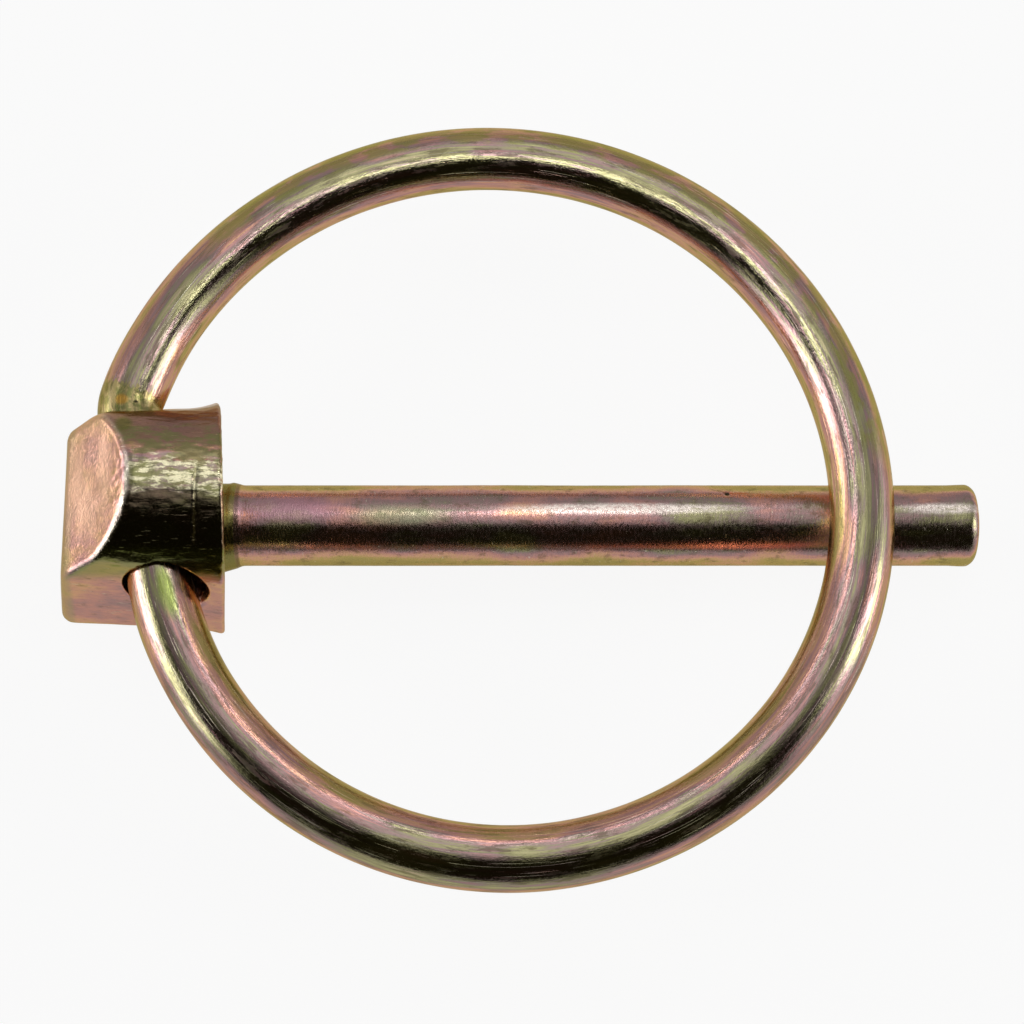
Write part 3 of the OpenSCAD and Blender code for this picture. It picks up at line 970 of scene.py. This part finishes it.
# The pale pink-white colour below is a painted highlight, laid in two patches along the shank's
# highlight line, in the middle and near the tip.
SHANK_HIGHLIGHT = (1.0, 0.88, 0.80)
COLLAR = (-2.0, 0.85, 0.15)
COLLAR_LINE = (0.98, 1.06, 0.14)
HIGHLIGHT_MIDDLE = ((23.5, 0.36, 2.36), (9.0, 0.46, 0.9))
HIGHLIGHT_TIP = ((42.2, 0.36, 2.36), (3.2, 0.46, 0.9))
SHANK_SPOTS = (
    ((10.6, -0.1, 2.37), (3.6, 0.9, 0.9), 0.6, (0.42, 0.46, 0.26)),  # green
    ((4.0, 0.4, 2.37), (4.0, 1.3, 1.2), 0.6, (0.60, 0.30, 0.38)),  # magenta
    # Painted reflection: the red streak lies along the lower edge of the dark reflected band.
    ((29.0, -1.67, 1.69), (9.0, 0.42, 0.42), 0.75, (0.90, 0.34, 0.28)),  # a red streak
    ((30.3, 1.40, 1.92), (0.9, 0.12, 0.2), 0.6, (0.62, 0.20, 0.07)),  # rust beside the pit
    (tuple(PIT), (0.22, 0.22, 0.22), 1.0, (0.05, 0.04, 0.03)),  # the pit
)


def shank_marks(n, place, colour):
    """The olive root collar with its dark line, pale patches of painted highlight along the
    shank's highlight line, patches where the film came out green or magenta, a red streak of
    painted reflection under the dark reflected band, and the pit on the shank's upper side
    with rust beside it."""
    along = n.axis(place, 0)
    colour = n.stain(colour, COLLAR_OLIVE, n.band(along, *COLLAR))
    colour = n.stain(colour, COLLAR_DARK, n.band(along, *COLLAR_LINE), 0.75)
    # Painted highlight: speckled pale patches along the shank's highlight line.
    brightening = n.math("MAXIMUM", n.spot(place, *HIGHLIGHT_MIDDLE), n.spot(place, *HIGHLIGHT_TIP))
    speckle = n.fit(n.noise(place, (3.0, 5.0, 5.0), 3.0, 0.7, 37.0), 0.35, 0.6, 0.35, 1.0)
    colour = n.stain(colour, SHANK_HIGHLIGHT, brightening, speckle)
    return spotted(n, place, colour, SHANK_SPOTS)


RING_LOOK = plating(
    "ring_plating",
    sheen_lean=28.5,
    phase=(0.17, 0.66),
    rise=(0.35, 0.98),
    streak=((0.14, 2.2, 2.2), 0.95),
    fine=((0.3, 9.0, 9.0), 0.5),
    patch=((0.22, 0.4, 0.4), 0.6),
    grain=((4.0, 10.0, 10.0), 0.8),
    rough=(0.07, 0.20),
    scratch=((0.14, 14.0, 14.0), (0.62, 0.72, 0.0, 0.6)),
    smut=((0.5, 3.2, 3.2), (0.51, 0.63, 0.0, 0.45)),
    scuff=0.45,
    relief=0.012,
    marks=ring_marks,
)
SHANK_LOOK = plating(
    "shank_plating",
    sheen_lean=13.0,
    phase=(0.07, 0.52),
    rise=(0.35, 0.85),
    streak=((0.22, 1.6, 1.6), 0.5),
    fine=((9.0, 2.4, 2.4), 0.25),
    patch=((0.2, 0.35, 0.35), 1.0),
    grain=((9.0, 4.0, 4.0), 0.9),
    rough=(0.14, 0.30),
    scratch=((6.0, 2.5, 2.5), (0.66, 0.76, 0.0, 0.5)),
    smut=((1.2, 2.0, 2.0), (0.52, 0.68, 0.0, 0.5)),
    scuff=0.2,
    relief=0.016,
    marks=shank_marks,
)
HEAD_LOOK = plating(
    "head_plating",
    sheen_lean=28.5,
    phase=(0.29, 0.66),
    rise=(0.60, 1.0),
    streak=((0.5, 1.3, 1.3), 0.35),
    fine=((0.9, 4.0, 4.0), 0.2),
    patch=((0.3, 0.5, 0.5), 0.6),
    grain=((7.0, 7.0, 7.0), 0.55),
    rough=(0.10, 0.24),
    scratch=((1.2, 9.0, 9.0), (0.64, 0.74, 0.0, 0.5)),
    smut=((1.5, 4.0, 4.0), (0.55, 0.70, 0.0, 0.45)),
    scuff=0.0,
    relief=0.02,
    marks=head_marks,
)
ring.data.materials.append(RING_LOOK)
shank.data.materials.append(SHANK_LOOK)
head.data.materials.append(HEAD_LOOK)


# ---------------------------------------------------------------- camera

IMAGE_PX = 1024
PIXEL = 0.0591  # millimetres of the object's plane per pixel
ORIGIN_PX = 222.74  # the head's shoulder, from the photo's left side
RAISE_PX = 13.6  # the photo's middle, above the shank's axis
DISTANCE_PX = 2420  # the camera's distance from the part
TILT = 16.5 - REST_ROLL  # how far the view leans from straight down, towards the lower side
SENSOR = 36
CLIP = (0.005, 20)

# The photo's right, up and towards-the-viewer axes.
tilt = math.radians(TILT)
RIGHT = Vector((1, 0, 0))
UP = Vector((0, math.cos(tilt), math.sin(tilt)))
BACK = Vector((0, -math.sin(tilt), math.cos(tilt)))
VIEW_AXES = Matrix((RIGHT, UP, BACK)).transposed()


def make_camera():
    data = bpy.data.cameras.new("camera")
    data.sensor_width = SENSOR
    data.lens = SENSOR * DISTANCE_PX / IMAGE_PX
    data.clip_start, data.clip_end = CLIP
    made = bpy.data.objects.new("camera", data)
    bpy.context.scene.collection.objects.link(made)
    place = RIGHT * (IMAGE_PX / 2 - ORIGIN_PX) + UP * RAISE_PX + BACK * DISTANCE_PX
    made.matrix_world = Matrix.Translation(place * PIXEL * MM) @ VIEW_AXES.to_4x4()
    return made


bpy.context.scene.camera = make_camera()


# ---------------------------------------------------------------- floor and room

PART_MIDDLE = Vector((17 * MM, 0, 0))
FLOOR_REACH = 4.0
FLOOR_GAP = 0.00002
PAPER = (0.8, 0.8, 0.8)
GLOW = 1.033
# How much of the floor is glow and not paper: as the camera sees it, and as the part does,
# from 30 mm around the part's middle to 100 mm.
GLOW_SEEN = 0.88
GLOW_POOL = (0.03, 0.10, 0.42, 0.15)


def make_floor():
    """Plain pale paper. It glows a little, mostly to the camera, so that it shows nearly
    white while the part keeps its soft shadow."""
    mesh = bpy.data.meshes.new("floor")
    z = CAD_BOX[0].z - FLOOR_GAP
    corners = ((-1, -1), (1, -1), (1, 1), (-1, 1))
    points = [(x * FLOOR_REACH, y * FLOOR_REACH, z) for x, y in corners]
    mesh.from_pydata(points, [], [(0, 1, 2, 3)])
    made = bpy.data.objects.new("floor", mesh)
    bpy.context.scene.collection.objects.link(made)
    look = bpy.data.materials.new("floor_paper")
    look.use_nodes = True
    nodes = look.node_tree.nodes
    nodes.remove(nodes["Principled BSDF"])
    n = Nodes(look.node_tree)
    paper = n.add("ShaderNodeBsdfDiffuse")
    paper.inputs["Color"].default_value = (*PAPER, 1)
    glow = n.add("ShaderNodeEmission")
    glow.inputs["Strength"].default_value = GLOW
    position = n.add("ShaderNodeNewGeometry").outputs["Position"]
    away = n.length(n.vector("SUBTRACT", position, tuple(PART_MIDDLE)))
    to_camera = n.add("ShaderNodeLightPath").outputs["Is Camera Ray"]
    seen = n.math("MULTIPLY", to_camera, GLOW_SEEN)
    share = n.add("ShaderNodeMixShader")
    n.put(share.inputs[0], n.math("MAXIMUM", seen, n.fit(away, *GLOW_POOL)))
    n.put(share.inputs[1], paper.outputs[0])
    n.put(share.inputs[2], glow.outputs[0])
    n.put(nodes["Material Output"].inputs[0], share.outputs[0])
    mesh.materials.append(look)
    return made


make_floor()

WHITE = (0.956, 0.956, 0.956)
DARK_ROOM = (0.012, 0.010, 0.004)
# Each of these says where a part of the room starts and ends, as the sine of its angle along
# one axis, and how bright it is at both.
FAR_SIDE = (0.0, 0.60, 0.0, 1.0)
OVERHEAD = (0.05, 0.60, 0.38, 0.45)
LEFT_WING = (0.78, 0.95, 0.0, 2.8)
RIGHT_WING = (-0.97, -0.76, 1.2, 0.0)
LEFT_WING_FADES = (0.28, 0.60, 1.0, 0.25)


def make_room():
    """The room as the part reflects it: dark on the viewer's near side and paler overhead on
    the far side, with a pale wing on the left and the right. The camera sees plain white."""
    world = bpy.data.worlds.new("studio")
    bpy.context.scene.world = world
    world.use_nodes = True
    n = Nodes(world.node_tree)
    towards = n.add("ShaderNodeTexCoord").outputs["Generated"]
    to_left = n.math("MULTIPLY", n.vector("DOT_PRODUCT", towards, tuple(RIGHT)), -1.0)
    to_top = n.vector("DOT_PRODUCT", towards, tuple(UP))
    height = n.vector("DOT_PRODUCT", towards, (0, 0, 1))
    far_side = n.both(n.fit(to_top, *FAR_SIDE), n.fit(height, *OVERHEAD))
    fades = n.fit(n.math("ABSOLUTE", to_top), *LEFT_WING_FADES)
    left_wing = n.both(n.fit(to_left, *LEFT_WING), fades)
    wings = n.math("MAXIMUM", left_wing, n.fit(to_left, *RIGHT_WING))
    room = n.vector("ADD", n.math("MAXIMUM", far_side, wings), DARK_ROOM)
    to_camera = n.add("ShaderNodeLightPath").outputs["Is Camera Ray"]
    sky = world.node_tree.nodes["Background"]
    n.put(sky.inputs["Color"], n.stain(room, WHITE, to_camera))


make_room()


# ---------------------------------------------------------------- lamps


def add_lamp(name, place, size, radiance, turn=None):
    """A soft box that faces the part. Its place is in the photo's right, up and
    towards-the-viewer axes from the middle of the part, and its size is its width and height.
    With a turn, it lies square to the view instead, turned anticlockwise in it."""
    data = bpy.data.lights.new(name, "AREA")
    data.shape = "RECTANGLE"
    data.size, data.size_y = size
    data.energy = radiance * math.pi * data.size * data.size_y
    made = bpy.data.objects.new(name, data)
    bpy.context.scene.collection.objects.link(made)
    away = VIEW_AXES @ Vector(place)
    made.location = PART_MIDDLE + away
    if turn is None:
        facing = away.to_track_quat("Z", "Y")
    else:
        facing = VIEW_AXES @ Matrix.Rotation(math.radians(turn), 3, "Z")
    made.rotation_euler = facing.to_euler()
    made.visible_camera = False


add_lamp("box_left", (-0.571, 0.02, 0.185), (0.17, 0.34), 2.1)
add_lamp("box_left_high", (-0.43, 0.34, 0.26), (0.12, 0.12), 1.2)
add_lamp("box_right", (0.56, 0.02, 0.20), (0.18, 0.32), 2.9)
add_lamp("box_right_near", (0.085, -0.004, 0.055), (0.022, 0.04), 0.8)
add_lamp("strip_top", (0.0005, 0.0235, 0.032), (0.014, 0.0035), 5.5, turn=10)
add_lamp("strip_far", (0.032, 0.082, 0.060), (0.040, 0.010), 1.3, turn=-25)
add_lamp("overhead", (0.008, 0.235, 0.240), (0.092, 0.430), 0.56, turn=0)

bpy.context.scene.view_settings.view_transform = "Standard"
